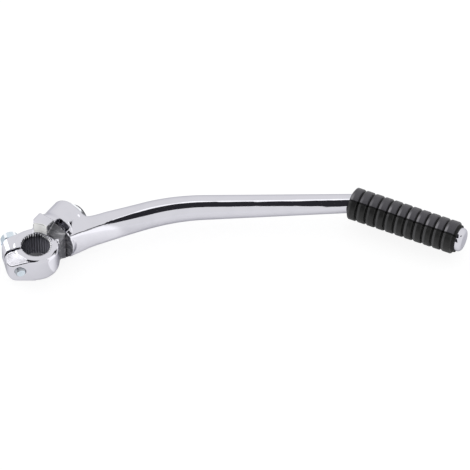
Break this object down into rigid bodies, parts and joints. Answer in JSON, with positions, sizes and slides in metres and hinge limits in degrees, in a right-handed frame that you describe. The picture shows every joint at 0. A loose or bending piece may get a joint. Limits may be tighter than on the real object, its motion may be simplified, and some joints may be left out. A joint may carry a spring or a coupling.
{
  "type": "kick start lever",
  "caption": "Folding kick start lever: splined pinch clamp, chromed bent arm on a fold pivot with ball detent, ribbed rubber foot grip.",
  "frame": {"origin": "centre of the spline bore, halfway along it", "axes": "+Z along the bore axis, away from the engine; +X along the folded lever; +Y completes the frame"},
  "size_m": [0.2621, 0.0611, 0.0301],
  "materials": {
    "chrome": "polished chrome plate over forged steel",
    "zinc": "blue passivated zinc plate",
    "spring_steel": "dark oiled spring steel",
    "rubber": "matt moulded rubber"
  },
  "bodies": {
    "clamp": {"knuckle": "chrome", "pinch_bolt": "zinc", "flat_washer": "zinc", "spring_washer": "zinc", "thrust_washer": "zinc", "circlip": "spring_steel"},
    "lever": {"arm": "chrome", "grip": "rubber", "detent_spring": "spring_steel"},
    "detent": {"detent_ball": "spring_steel"}
  },
  "joints": [
    {"name": "arm_fold", "type": "hinge", "parent": "clamp", "child": "lever", "pos_m": [0.00893, 0.0123, 0], "axis": [-0.5878, -0.809, 0], "range_deg": [0, 90]},
    {"name": "ball_press", "type": "slide", "parent": "lever", "child": "detent", "axis": [0.5878, 0.809, 0], "range_m": [0, 0.0008], "stiffness_N_per_m": 1000, "springref_m": -0.001, "deforming": ["detent_spring"]}
  ]
}
